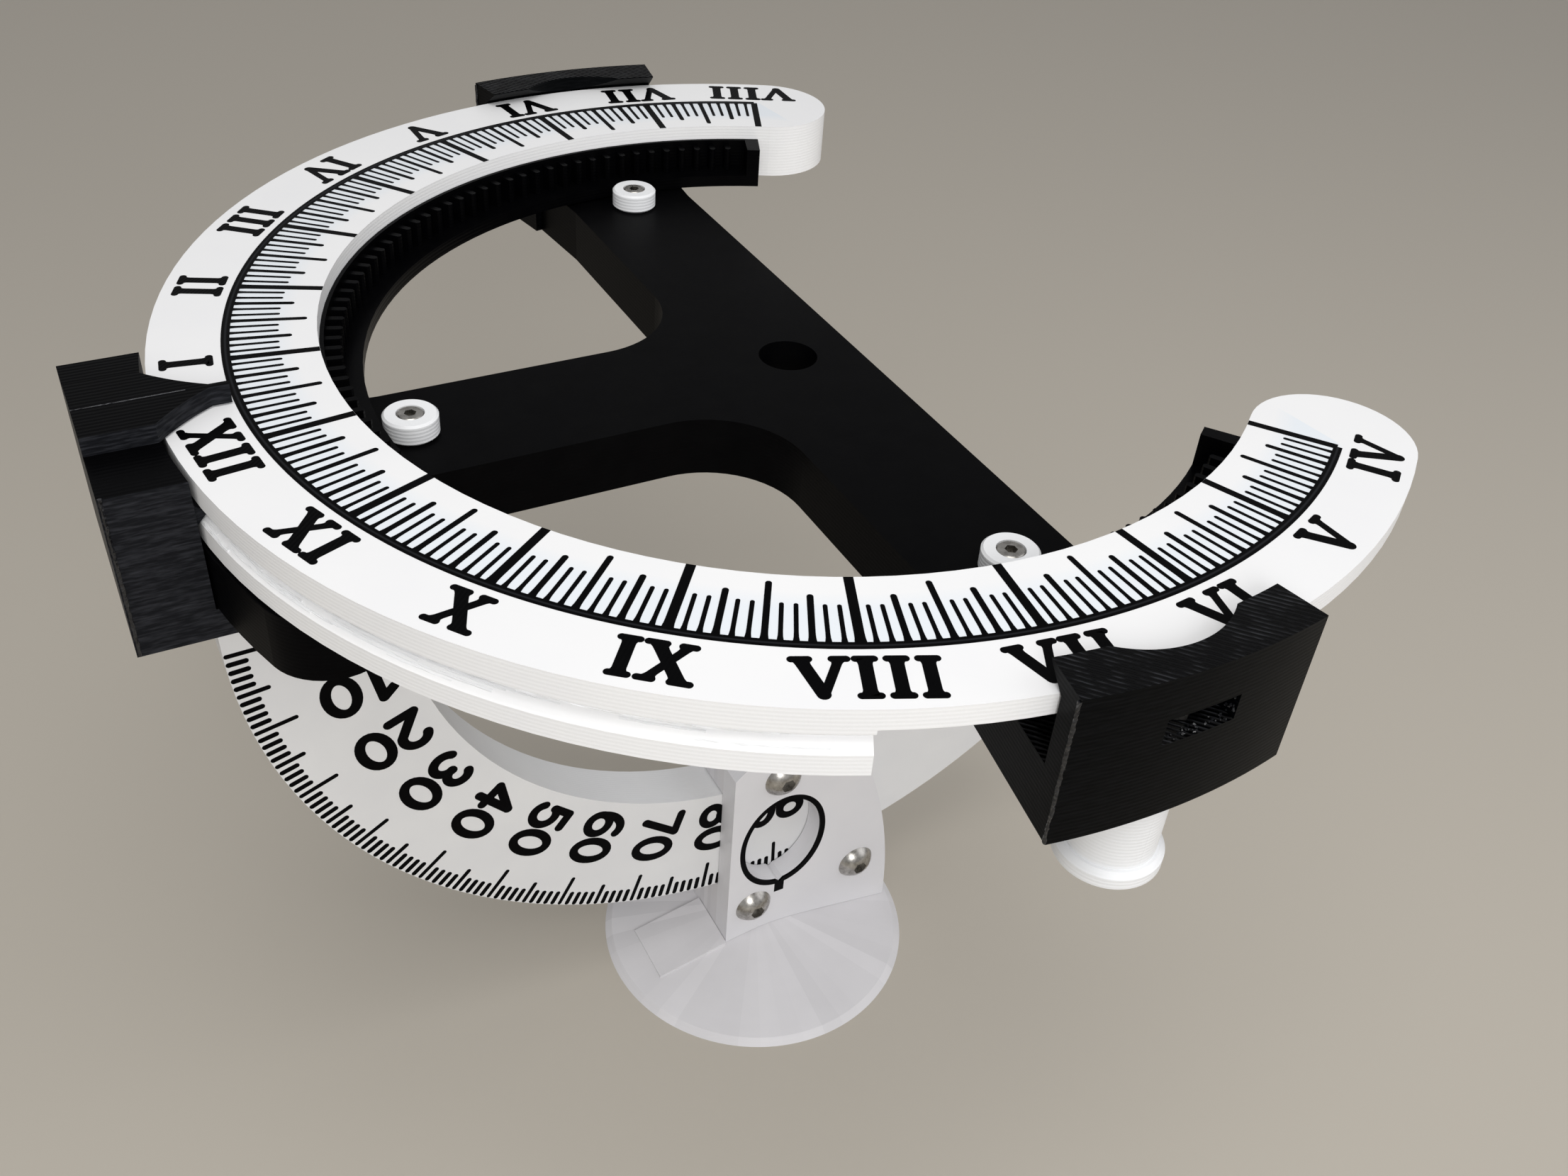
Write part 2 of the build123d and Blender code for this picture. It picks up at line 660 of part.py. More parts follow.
# Latitude bow with its straight shank up to the plate
with BuildPart() as latitude_bow:
    with BuildSketch(bow_plane) as bow_outline:
        add(ring_sector(bow_inner, bow_outer, -bow_end_angle, 0))
        end_corners = bow_outline.vertices().sort_by(Axis.X)[:2]
        fillet(end_corners, bow_end_round)
        with Locations(((bow_inner + bow_outer) / 2, (plate_bottom + pivot_drop) / 2)):
            Rectangle(bow_outer - bow_inner, plate_bottom + pivot_drop)
        hook_height = plate_bottom - noon_bottom + seat_clearance
        with Locations((noon_hook - seat_clearance, plate_bottom + pivot_drop)):
            Rectangle(bow_outer - noon_hook + 1, hook_height, align=(Align.MIN, Align.MAX),
                      mode=Mode.SUBTRACT)
    extrude(amount=bow_thickness / 2, both=True)
    bow_screw_seat = plate_top - m3_cap_height - hole_gap
    with BuildSketch(dial_plane.offset(plate_bottom)):
        with Locations(*[(place, 0) for place in bow_screw_places]):
            Circle(m3_radius + thread_gap)
    extrude(amount=bow_screw_seat - bow_screw_length - hole_gap - plate_bottom, mode=Mode.SUBTRACT)
latitude_bow.part.label = "latitude_bow"

with BuildPart() as bow_screws:
    with BuildSketch(dial_plane.offset(bow_screw_seat)):
        with Locations(*[(place, 0) for place in bow_screw_places]):
            Circle(m3_radius)
    extrude(amount=-bow_screw_length)
    with BuildSketch(dial_plane.offset(bow_screw_seat)):
        with Locations(*[(place, 0) for place in bow_screw_places]):
            Circle(m3_cap_radius)
    extrude(amount=m3_cap_height)
    with BuildSketch(dial_plane.offset(bow_screw_seat + m3_cap_height)):
        with Locations(*[(place, 0) for place in bow_screw_places]):
            RegularPolygon(m3_cap_hex / 2 * hex_corner, 6)
    extrude(amount=-m3_cap_height / 2, mode=Mode.SUBTRACT)
bow_screws.part.label = "bow_screws"


# Side view of the pillar, shared by the stand and its cover
def pillar_outline():
    with BuildSketch() as outline:
        with BuildLine():
            root_level = pillar_root - dial_height
            top = ThreePointArc(
                (pillar_left, pillar_top - pillar_left_shoulder),
                (pillar_crown, pillar_top),
                (pillar_right, pillar_top - pillar_right_shoulder),
            )
            bulge = (pillar_bulge[0], pillar_top - pillar_bulge[1])
            right = ThreePointArc(top @ 1, bulge, (pillar_right_foot, root_level))
            Polyline(right @ 1, (pillar_left, root_level), top @ 0)
        make_face()
    return outline.sketch


# Centre of a cover screw in the side view, at a radius about the middle of the bow
def screw_centre(place, reach):
    return (place, -pivot_drop - sqrt(reach ** 2 - place ** 2))


cover_screw_centres = [screw_centre(place, bow_outer + cover_lower_offset) for place in cover_lower_screws]
cover_screw_centres.append(screw_centre(cover_top_screw, bow_inner - cover_top_offset))
window_centre = (window_middle, -pivot_drop - (bow_inner + bow_outer) / 2)


# Outline of the black line round the window, filled, with its pointer below
def frame_outline():
    with BuildSketch() as outline:
        with Locations(window_centre):
            Ellipse(window_width / 2, window_rise / 2)
            Rectangle(pointer_width, window_rise / 2 + pointer_length, align=(Align.CENTER, Align.MAX))
    return outline.sketch


# The window's hole, notched where the pointer starts
def window_hole():
    with BuildSketch() as hole:
        with Locations(window_centre):
            Ellipse(window_width / 2 - window_line, window_rise / 2 - window_line)
        with Locations((window_middle, window_centre[1] - window_rise / 2 + window_line)):
            Rectangle(pointer_notch, pointer_notch, rotation=45)
    return hole.sketch


cone_apex = rim_height + cone_slope * rim_radius

# Stand: round foot, cone, ramp pad and the pillar with its channel for the bow
with BuildPart() as base_stand:
    with BuildSketch(Plane.XZ):
        Polygon((0, 0), (foot_radius, 0), (rim_radius, rim_height), (0, cone_apex), align=None)
    revolve(axis=Axis.Z)
    with BuildSketch(Plane.XZ):
        Polygon(
            (pillar_left + seat_clearance, rim_height),
            (pad_end, rim_height),
            (pad_end, cone_apex - cone_slope * pad_end + pad_rise),
            (pillar_left + seat_clearance,
             cone_apex - cone_slope * (pillar_left + seat_clearance) + pad_rise),
            align=None,
        )
    extrude(amount=pad_half_width, both=True)
    with BuildSketch(side_plane.offset(pillar_back)):
        add(pillar_outline())
    extrude(amount=-pillar_back - cover_back)
    with BuildSketch(bow_plane.offset(cover_back)):
        add(ring_sector(bow_inner - bow_edge_gap, bow_outer + bow_edge_gap,
                        downwards - channel_half_angle, downwards + channel_half_angle))
    extrude(amount=-2 * cover_back - 1, mode=Mode.SUBTRACT)
    with BuildSketch(side_plane.offset(pillar_back)):
        with Locations(*cover_screw_centres):
            Circle(m4_radius + hole_gap)
    extrude(amount=-pillar_back - cover_back, mode=Mode.SUBTRACT)
    with BuildSketch(side_plane.offset(pillar_back)):
        with Locations(*cover_screw_centres):
            RegularPolygon((m4_nut_flats / 2 + hole_gap) * hex_corner, 6)
    extrude(amount=-m4_nut_height, mode=Mode.SUBTRACT)
base_stand.part.label = "base_stand"

# Cover with the reading window
with BuildPart() as window_cover:
    with BuildSketch(side_plane.offset(-cover_back)):
        add(pillar_outline())
    extrude(amount=cover_back - cover_front)
    with BuildSketch(Plane.XZ):
        Polygon(
            (0, 0),
            (foot_radius, 0),
            (rim_radius, rim_height + seat_clearance),
            (0, cone_apex + seat_clearance),
            align=None,
        )
    revolve(axis=Axis.Z, mode=Mode.SUBTRACT)
    with BuildSketch(side_plane.offset(-cover_back)):
        with Locations(*cover_screw_centres):
            Circle(m4_radius + hole_gap)
        add(window_hole())
    extrude(amount=cover_back - cover_front, mode=Mode.SUBTRACT)
    with BuildSketch(side_plane.offset(-cover_front)):
        add(frame_outline())
    extrude(amount=window_inlay, mode=Mode.SUBTRACT)
window_cover.part.label = "window_cover"

# Black line and pointer let into the cover
with BuildPart() as window_frame:
    with BuildSketch(side_plane.offset(-cover_front)):
        add(frame_outline())
        add(window_hole(), mode=Mode.SUBTRACT)
    extrude(amount=window_inlay)
window_frame.part.label = "window_frame"

# Three button-head screws and their nuts behind the pillar
screw_length = cover_front + pillar_back
with BuildPart() as cover_screws:
    with BuildSketch(side_plane.offset(-cover_front)):
        with Locations(*cover_screw_centres):
            Circle(m4_radius)
    extrude(amount=screw_length)
    for centre in cover_screw_centres:
        head_plane = side_plane.offset(-cover_front)
        head_middle = head_plane.from_local_coords(Vector(*centre, 0))
        with BuildSketch(Plane(origin=head_middle, x_dir=(1, 0, 0), z_dir=(0, 0, 1))):
            with BuildLine():
                crown_radius = (m4_button_radius ** 2 + m4_button_height ** 2) / (2 * m4_button_height)
                crown = RadiusArc((0, m4_button_height), (m4_button_radius, 0), crown_radius)
                Polyline(crown @ 1, (0, 0), crown @ 0)
            make_face()
        revolve(axis=Axis(head_middle, (0, 1, 0)))
    with BuildSketch(side_plane.offset(-cover_front - m4_button_height)):
        with Locations(*cover_screw_centres):
            RegularPolygon(m4_hex / 2 * hex_corner, 6)
    extrude(amount=m4_hex_depth, mode=Mode.SUBTRACT)
cover_screws.part.label = "cover_screws"

with BuildPart() as cover_nuts:
    with BuildSketch(side_plane.offset(pillar_back)):
        with Locations(*cover_screw_centres):
            RegularPolygon(m4_nut_flats / 2 * hex_corner, 6)
            Circle(m4_radius + thread_gap, mode=Mode.SUBTRACT)
    extrude(amount=-m4_nut_height + thread_gap)
cover_nuts.part.label = "cover_nuts"


export_step(base_stand.part, "parts/base_stand.step")
export_step(window_cover.part, "parts/window_cover.step")
export_step(window_frame.part, "parts/window_frame.step")
export_step(cover_screws.part, "parts/cover_screws.step")
export_step(cover_nuts.part, "parts/cover_nuts.step")
export_step(latitude_bow.part, "parts/latitude_bow.step")
export_step(bow_screws.part, "parts/bow_screws.step")
export_step(t_plate.part, "parts/t_plate.step")
export_step(noon_block.part, "parts/noon_block.step")
export_step(morning_block, "parts/morning_block.step")
export_step(evening_block, "parts/evening_block.step")
export_step(block_screws.part, "parts/block_screws.step")
export_step(dial_ring.part, "parts/dial_ring.step")
export_step(rack_ring.part, "parts/rack_ring.step")
export_step(roller_noon, "parts/roller_noon.step")
export_step(roller_morning, "parts/roller_morning.step")
export_step(roller_evening, "parts/roller_evening.step")
export_step(roller_screws.part, "parts/roller_screws.step")
export_step(clamp_nut.part, "parts/clamp_nut.step")
export_step(clamp_screw.part, "parts/clamp_screw.step")
export_step(clamp_knob.part, "parts/clamp_knob.step")
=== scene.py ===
import math
import random

import bmesh
import bpy
from mathutils import Matrix, Vector


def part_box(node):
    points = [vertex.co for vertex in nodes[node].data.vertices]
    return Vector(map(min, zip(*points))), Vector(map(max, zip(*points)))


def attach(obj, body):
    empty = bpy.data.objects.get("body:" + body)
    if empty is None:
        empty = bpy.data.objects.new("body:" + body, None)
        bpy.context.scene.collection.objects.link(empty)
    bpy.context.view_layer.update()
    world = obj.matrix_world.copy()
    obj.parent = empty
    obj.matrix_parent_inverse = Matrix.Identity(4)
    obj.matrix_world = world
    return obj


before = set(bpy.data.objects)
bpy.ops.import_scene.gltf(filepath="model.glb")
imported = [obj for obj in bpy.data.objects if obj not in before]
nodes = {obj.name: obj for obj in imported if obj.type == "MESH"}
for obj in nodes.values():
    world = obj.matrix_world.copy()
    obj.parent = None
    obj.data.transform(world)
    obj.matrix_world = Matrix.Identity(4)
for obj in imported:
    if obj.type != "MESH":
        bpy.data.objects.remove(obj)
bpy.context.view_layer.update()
mm = 0.001
print("frame loaded:", len(nodes), "nodes")

# Places that the marks share with the model, in millimetres
dialAxisY = -3.4
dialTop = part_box("dial_ring")[1].z / mm
ringTurn = 6.88                    # degrees that the ring is set towards the morning arm
bowPivotZ = dialTop - 33.7
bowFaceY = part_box("latitude_bow")[1].y / mm

# From the dial's own place, with x to noon and z up from the ring's top face, to the model's
dialPlace = Matrix.Translation((0, dialAxisY * mm, dialTop * mm)) @ Matrix.Scale(mm, 4)
ringPlace = dialPlace @ Matrix.Rotation(math.radians(ringTurn), 4, "Z")
# From the bow's flat scale, with x to noon and y up, to its front face
bowPlace = Matrix.Translation((0, bowFaceY * mm, bowPivotZ * mm)) @ Matrix(
    ((1, 0, 0, 0), (0, 0, 1, 0), (0, 1, 0, 0), (0, 0, 0, 1))) @ Matrix.Scale(mm, 4)


def linear(hexColour):
    channels = [int(hexColour[i:i + 2], 16) / 255 for i in (1, 3, 5)]
    return tuple(c / 12.92 if c <= 0.04045 else ((c + 0.055) / 1.055) ** 2.4 for c in channels) + (1.0,)


def addNode(material, kind, settings=None, links=None):
    node = material.node_tree.nodes.new(kind)
    for name, value in (settings or {}).items():
        if isinstance(name, int) or name in node.inputs:
            node.inputs[name].default_value = value
        else:
            setattr(node, name, value)
    for socket, source in (links or {}).items():
        material.node_tree.links.new(source, node.inputs[socket])
    return node


def newMaterial(name, shaderSettings):
    material = bpy.data.materials.new(name)
    material.use_nodes = True
    shader = material.node_tree.nodes["Principled BSDF"]
    for socket, value in shaderSettings.items():
        shader.inputs[socket].default_value = value
    return material, shader


# Waves of a given pitch in millimetres, for printed layers and passes
def addLines(material, coordinates, axis, pitch, wobble):
    return addNode(material, "ShaderNodeTexWave", {
        "wave_type": "BANDS", "bands_direction": axis, "Scale": math.tau / 20 / (pitch * mm),
        "Distortion": wobble, "Detail": 2.0, "Detail Scale": 1.5}, {"Vector": coordinates})


def addNoise(material, coordinates, size, detail=3.0):
    return addNode(material, "ShaderNodeTexNoise", {
        "Scale": 1 / (size * mm), "Detail": detail, "Roughness": 0.6}, {"Vector": coordinates})


def addBump(material, height, depth, strength, below=None):
    bump = addNode(material, "ShaderNodeBump", {"Strength": strength, "Distance": depth * mm}, {"Height": height})
    if below is not None:
        material.node_tree.links.new(below.outputs[0], bump.inputs["Normal"])
    return bump


def rampBetween(material, source, low, high, colourLow, colourHigh):
    ramp = addNode(material, "ShaderNodeValToRGB", None, {"Fac": source})
    ramp.color_ramp.elements[0].position = low
    ramp.color_ramp.elements[0].color = colourLow
    ramp.color_ramp.elements[1].position = high
    ramp.color_ramp.elements[1].color = colourHigh
    return ramp


# The marks shine through the thin white face between their ends and the line, and cool it a little
def addCoolBand(material, place, colour, finish):
    centred = addNode(material, "ShaderNodeMapping", {"Location": (0, -dialAxisY * mm, 0)}, {"Vector": place})
    flat = addNode(material, "ShaderNodeVectorMath", {"operation": "MULTIPLY", 1: (1, 1, 0)}, {0: centred.outputs[0]})
    reach = addNode(material, "ShaderNodeVectorMath", {"operation": "LENGTH"}, {0: flat.outputs[0]})
    rising, falling = (
        addNode(material, "ShaderNodeMapRange", {"From Min": low * mm, "From Max": high * mm},
                {"Value": reach.outputs["Value"]})
        for low, high in (finish["coolRise"], finish["coolFall"]))
    turn = math.radians(ringTurn)
    along = addNode(material, "ShaderNodeVectorMath", {
        "operation": "DOT_PRODUCT", 1: (math.cos(turn), math.sin(turn), 0)}, {0: centred.outputs[0]})
    ends = math.cos(math.radians(finish["coolEnd"])) * finish["coolFall"][1] * mm
    between = addNode(material, "ShaderNodeMath", {"operation": "MULTIPLY"}, {
        0: rising.outputs[0], 1: falling.outputs[0]})
    inside = addNode(material, "ShaderNodeMath", {"operation": "GREATER_THAN", 1: ends}, {0: along.outputs["Value"]})
    share = addNode(material, "ShaderNodeMath", {"operation": "MULTIPLY"}, {0: between.outputs[0], 1: inside.outputs[0]})
    tint = addNode(material, "ShaderNodeMix", {"data_type": "RGBA"}, {"Factor": share.outputs[0], 6: colour})
    tint.inputs[7].default_value = linear(finish["cool"])
    return tint.outputs[2]


# Painted shade: the foot's cone was laid in sectors that meet in fine steps, and each sector's colour is made a little
# lighter or darker at random for how it catches the light
def addFan(material, place, colour, finish):
    angle = addNode(material, "ShaderNodeTexGradient", {"gradient_type": "RADIAL"}, {"Vector": place})
    sector = addNode(material, "ShaderNodeMath", {"operation": "MULTIPLY", 1: finish["sectors"]}, {
        0: angle.outputs["Fac"]})
    whole = addNode(material, "ShaderNodeMath", {"operation": "FLOOR"}, {0: sector.outputs[0]})
    chance = addNode(material, "ShaderNodeTexWhiteNoise", {"noise_dimensions": "1D"}, {"W": whole.outputs[0]})
    shade = rampBetween(material, chance.outputs["Value"], 0.0, 1.0, linear("#f3f3f3"), linear("#ffffff"))
    mixed = addNode(material, "ShaderNodeMix", {"data_type": "RGBA", "blend_type": "MULTIPLY", 0: 1.0}, {
        6: colour, 7: shade.outputs["Color"]})
    return mixed.outputs[2]


# Walls show streaks along their layers and get their own colour apart from the tops: lighter on the noon block as a
# painted sheen, darker on the side blocks as painted shade. The tops' passes get lighter crests as a painted highlight
def addRidges(material, place, colour, passes, upward, finish):
    stretched = addNode(material, "ShaderNodeMapping", {"Scale": (0.12, 0.12, 1.0)}, {
        "Vector": place.outputs["Object"]})
    streaks = addNoise(material, stretched.outputs[0], 0.35, 2.0)
    wall = rampBetween(material, streaks.outputs["Fac"], 0.42, 0.72, linear(finish["wall"]), linear(finish["layerStreakAndSheen"]))
    patches = addNoise(material, place.outputs["Object"], 2.6, 2.0)
    crestHighlightMask = addNode(material, "ShaderNodeMath", {"operation": "MULTIPLY"}, {0: passes, 1: patches.outputs["Fac"]})
    top = rampBetween(material, crestHighlightMask.outputs[0], 0.42, 0.62, linear(finish["colour"]), linear(finish["ridge"]))
    chosen = addNode(material, "ShaderNodeMix", {"data_type": "RGBA"}, {
        "Factor": upward, 6: wall.outputs["Color"], 7: top.outputs["Color"]})
    return chosen.outputs[2]


# PLA from a 0.4 mm nozzle: satin, with faint layers up its walls. A top that was printed last shows
# its slanting passes. Both are drawn a little coarser than they are, so that they show
def makePrinted(name, finish):
    material, shader = newMaterial(name, {
        "Roughness": finish["roughness"], "IOR": 1.46, "Specular IOR Level": finish["gloss"]})
    place = addNode(material, "ShaderNodeTexCoord")
    cloud = addNoise(material, place.outputs["Object"], finish["cloud"])
    shade = rampBetween(material, cloud.outputs["Fac"], 0.35, 0.7, linear(finish["shade"]), linear(finish["colour"]))
    colour = shade.outputs["Color"]
    if "cool" in finish:
        colour = addCoolBand(material, place.outputs["Object"], colour, finish)
    # Painted shade on the foot's cone, sector by sector
    if "sectors" in finish:
        colour = addFan(material, place.outputs["Object"], colour, finish)
    facing = addNode(material, "ShaderNodeSeparateXYZ", None, {0: place.outputs["Normal"]})
    upward = addNode(material, "ShaderNodeMath", {"operation": "GREATER_THAN", 1: 0.9}, {0: facing.outputs["Z"]})
    if "passTurn" in finish:
        turned = addNode(material, "ShaderNodeMapping", {"Rotation": (0, 0, math.radians(finish["passTurn"]))}, {
            "Vector": place.outputs["Object"]})
        passes = addLines(material, turned.outputs[0], "X", finish["passPitch"], 0.7)
        height = addNode(material, "ShaderNodeMath", {"operation": "MULTIPLY"}, {
            0: passes.outputs["Fac"], 1: upward.outputs[0]})
    # Painted light on the black blocks: wall colours apart from the tops, and lighter pass crests as painted
    # highlights
    if "ridge" in finish:
        colour = addRidges(material, place, colour, passes.outputs["Fac"], upward.outputs[0], finish)
    material.node_tree.links.new(colour, shader.inputs["Base Color"])
    grain = addNoise(material, place.outputs["Object"], finish["grain"], 2.0)
    bump = addBump(material, grain.outputs["Fac"], finish["grainDepth"], 0.6)
    layers = addLines(material, place.outputs["Object"], finish["layerAxis"], finish["layerPitch"], 0.5)
    bump = addBump(material, layers.outputs["Fac"], finish["layerDepth"], 0.6, bump)
    if "passTurn" in finish:
        bump = addBump(material, height.outputs[0], finish["passDepth"], 1.0, bump)
    material.node_tree.links.new(bump.outputs[0], shader.inputs["Normal"])
    return material


whiteFinish = {
    "colour": "#f0f0f0", "shade": "#ebebec", "cloud": 22.0, "roughness": 0.42, "gloss": 0.4, "grain": 0.5,
    "grainDepth": 0.012, "layerAxis": "Z", "layerPitch": 0.55, "layerDepth": 0.02}
blackFinish = {
    "colour": "#050506", "shade": "#030304", "cloud": 4.0, "roughness": 0.4, "gloss": 0.035, "grain": 0.35,
    "grainDepth": 0.015, "layerAxis": "Z", "layerPitch": 0.6, "layerDepth": 0.035}

# Each printed piece's way off its colour's finish; where that is painted light, a note says so
printed = {
    # printed face down on glass, so smooth on top
    "whitePlaDial": {**whiteFinish, "colour": "#f5f5f5", "shade": "#f2f2f3", "cool": "#eaeff4",
                     "coolRise": (71.0, 74.0), "coolFall": (80.6, 79.4), "coolEnd": 121.0, "roughness": 0.38},
    # Painted shade: the bow, foot and cover get greyer whites than the dial and knobs
    "whitePlaBowShaded": {**whiteFinish, "colour": "#e8e8e8", "shade": "#e2e2e3", "layerAxis": "Y"},
    "whitePlaFootShaded": {**whiteFinish, "colour": "#e4e2e4", "shade": "#dddbdd", "sectors": 44.0, "roughness": 0.5},
    "whitePlaCoverShaded": {**whiteFinish, "colour": "#e3e2e4", "shade": "#dedde0", "layerAxis": "Y", "roughness": 0.46},
    "whitePlaKnob": {**whiteFinish, "colour": "#f4f5f6", "shade": "#eeeff1", "layerDepth": 0.04},
    "blackPlaPlate": {**blackFinish, "roughness": 0.44, "layerDepth": 0.01},
    # The blocks' wall, streak and crest colours are painted light: a painted sheen on the noon block's walls, painted
    # shade on the side blocks' walls, painted highlights on the crests
    "blackPlaSideBlock": {**blackFinish, "passTurn": -42.0, "passPitch": 0.75, "passDepth": 0.22, "roughness": 0.3,
                          "layerDepth": 0.012, "ridge": "#2c2d30", "wall": "#030405", "layerStreakAndSheen": "#0a0b0d"},
    "blackPlaNoonBlock": {**blackFinish, "passTurn": 90.0, "passPitch": 0.75, "passDepth": 0.02, "layerDepth": 0.05,
                          "roughness": 0.36, "ridge": "#08080a", "wall": "#17181b", "layerStreakAndSheen": "#2e2f33"},
    "blackPlaRack": {**blackFinish, "layerDepth": 0.03, "roughness": 0.32},
    "blackPlaInlay": {**blackFinish, "layerDepth": 0.0, "passTurn": 45.0, "passPitch": 0.5, "passDepth": 0.015},
    # the ring line was drawn in two passes with a paler dip between them
    "blackPlaLine": {**blackFinish, "layerDepth": 0.0, "cool": "#232427", "coolRise": (79.75, 79.97),
                     "coolFall": (80.2, 79.97), "coolEnd": 121.0},
    # pale grey on the black burrs is a painted highlight
    "blackPlaBurrHighlight": {**blackFinish, "colour": "#5b5c60", "shade": "#1c1c1f", "cloud": 0.8, "gloss": 0.5},
    # grey on the black seam beads and slot crumbs is a painted highlight
    "blackPlaSeamHighlight": {**blackFinish, "colour": "#26272a", "shade": "#0c0c0e", "cloud": 0.5, "gloss": 0.5, "roughness": 0.2}}
prints = {name: makePrinted(name, finish) for name, finish in printed.items()}


# Stainless steel, cold-headed and tumbled: warm grey and bright, with faint scuffs
def makeSteel():
    material, shader = newMaterial("stainlessSteel", {"Metallic": 1.0})
    place = addNode(material, "ShaderNodeTexCoord")
    scuff = addNoise(material, place.outputs["Object"], 1.1, 4.0)
    shade = rampBetween(material, scuff.outputs["Fac"], 0.3, 0.75, linear("#8d8a85"), linear("#c8c5c0"))
    gloss = addNode(material, "ShaderNodeMapRange", {"To Min": 0.18, "To Max": 0.38}, {"Value": scuff.outputs["Fac"]})
    material.node_tree.links.new(shade.outputs["Color"], shader.inputs["Base Color"])
    material.node_tree.links.new(gloss.outputs[0], shader.inputs["Roughness"])
    return material


steel = makeSteel()
print("materials made")

nodeFinish = {
    "dial_ring": "whitePlaDial", "rack_ring": "blackPlaRack", "t_plate": "blackPlaPlate",
    "latitude_bow": "whitePlaBowShaded", "noon_block": "blackPlaNoonBlock", "morning_block": "blackPlaSideBlock",
    "evening_block": "blackPlaSideBlock", "base_stand": "whitePlaFootShaded", "window_cover": "whitePlaCoverShaded",
    "window_frame": "blackPlaInlay", "roller_noon": "whitePlaKnob", "roller_morning": "whitePlaKnob",
    "roller_evening": "whitePlaKnob", "clamp_knob": "whitePlaKnob"}
for name, node in nodes.items():
    node.data.materials.clear()
    node.data.materials.append(prints[nodeFinish[name]] if name in nodeFinish else steel)


def finishPiece(mesh, name, material, body, place):
    mesh.transform(place)
    if place.determinant() < 0:            # a mirroring place turns the faces inside out
        mesh.flip_normals()
    piece = bpy.data.objects.new(name, mesh)
    bpy.context.scene.collection.objects.link(piece)
    mesh.materials.clear()
    mesh.materials.append(material)
    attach(piece, body)
    return piece


def meshFrom(bm, name):
    mesh = bpy.data.meshes.new(name)
    bm.to_mesh(mesh)
    bm.free()
    return mesh


# A flat bar with round ends from one point to another, in millimetres
def addBar(bm, start, end, half, sides=16):
    start, end = Vector(start), Vector(end)
    along = end - start
    made = bmesh.ops.create_circle(bm, cap_ends=True, segments=sides, radius=half)["verts"]
    bmesh.ops.rotate(bm, verts=made, cent=(0, 0, 0), matrix=Matrix.Rotation(math.pi / sides, 3, "Z"))
    turn = Matrix.Rotation(math.atan2(along.y, along.x), 3, "Z")
    for vert in made:
        far = vert.co.x > 0
        vert.co = turn @ vert.co + Vector((*(end if far else start), 0))


def addShape(bm, corners):
    return bm.faces.new([bm.verts.new((*corner, 0)) for corner in corners])


# A flat bar with square ends
def addStrip(bm, start, end, half):
    across = (end - start).orthogonal().normalized() * half
    addShape(bm, (start - across, end - across, end + across, start + across))


def addDisc(bm, centre, radius):
    bmesh.ops.create_circle(bm, cap_ends=True, segments=16, radius=radius, matrix=Matrix.Translation((*centre, 0)))


# A flat stroke along a smooth run of points, closed or with round ends
def addStroke(bm, points, half):
    closed = (points[0] - points[-1]).length < half / 10
    if closed:
        points = points[:-1]
    pairs = []
    for index, point in enumerate(points):
        before = points[index - 1] if index or closed else point
        after = points[(index + 1) % len(points)] if index + 1 < len(points) or closed else point
        across = (after - before).orthogonal().normalized() * half
        pairs.append([bm.verts.new((*(point + side * across), 0)) for side in (1, -1)])
    for near, far in zip(pairs, pairs[1:] + (pairs[:1] if closed else [])):
        bm.faces.new((near[0], near[1], far[1], far[0]))
    if not closed:
        addDisc(bm, points[0], half)
        addDisc(bm, points[-1], half)


# Points on an arc of an ellipse, with angles in degrees
def arcPoints(centre, radii, start, end, steps):
    angles = [math.radians(start + (end - start) * step / steps) for step in range(steps + 1)]
    return [Vector((centre[0] + radii[0] * math.cos(a), centre[1] + radii[1] * math.sin(a))) for a in angles]


# Inlaid plastic stands a hair above its face and reaches a little into it
inlay = {"proud": 0.03, "sunk": 0.12}


# Gives flat shapes their thickness, then joins those that lie over each other into closed solids
def raiseInlay(bm, name):
    grown = bmesh.ops.extrude_face_region(bm, geom=list(bm.faces))
    lifted = [item for item in grown["geom"] if isinstance(item, bmesh.types.BMVert)]
    bmesh.ops.translate(bm, verts=lifted, vec=(0, 0, inlay["proud"] + inlay["sunk"]))
    bmesh.ops.translate(bm, verts=bm.verts, vec=(0, 0, -inlay["sunk"]))
    bmesh.ops.recalc_face_normals(bm, faces=bm.faces)
    seed = bmesh.new()
    bmesh.ops.create_cube(seed, size=0.01, matrix=Matrix.Translation((0, 0, -50)))
    shapes = [bpy.data.objects.new(name, meshFrom(made, name)) for made in (bm, seed)]
    for shape in shapes:
        bpy.context.scene.collection.objects.link(shape)
    join = shapes[0].modifiers.new("join", "BOOLEAN")
    join.operation, join.solver, join.use_self, join.object = "UNION", "EXACT", True, shapes[1]
    joined = bpy.data.meshes.new_from_object(shapes[0].evaluated_get(bpy.context.evaluated_depsgraph_get()))
    for shape in shapes:
        bpy.data.objects.remove(shape)
    clean = bmesh.new()
    clean.from_mesh(joined)
    bmesh.ops.delete(clean, geom=[vert for vert in clean.verts if vert.co.z < -40], context="VERTS")
    clean.to_mesh(joined)
    clean.free()
    return joined


# Hour marks: a line round the ring with ticks for 60, 30, 15 and 5 minutes
hourMarks = {
    "lineInner": 79.4, "lineOuter": 80.55, "lineEnd": 120.0, "lineSteps": 192, "fiveMinutes": 1.25, "tickOuter": 79.9,
    "hour": (68.0, 0.59), "half": (69.3, 0.39), "quarter": (71.3, 0.39), "five": (73.0, 0.27),
    "flareStart": 78.0, "flareSpread": 0.34}


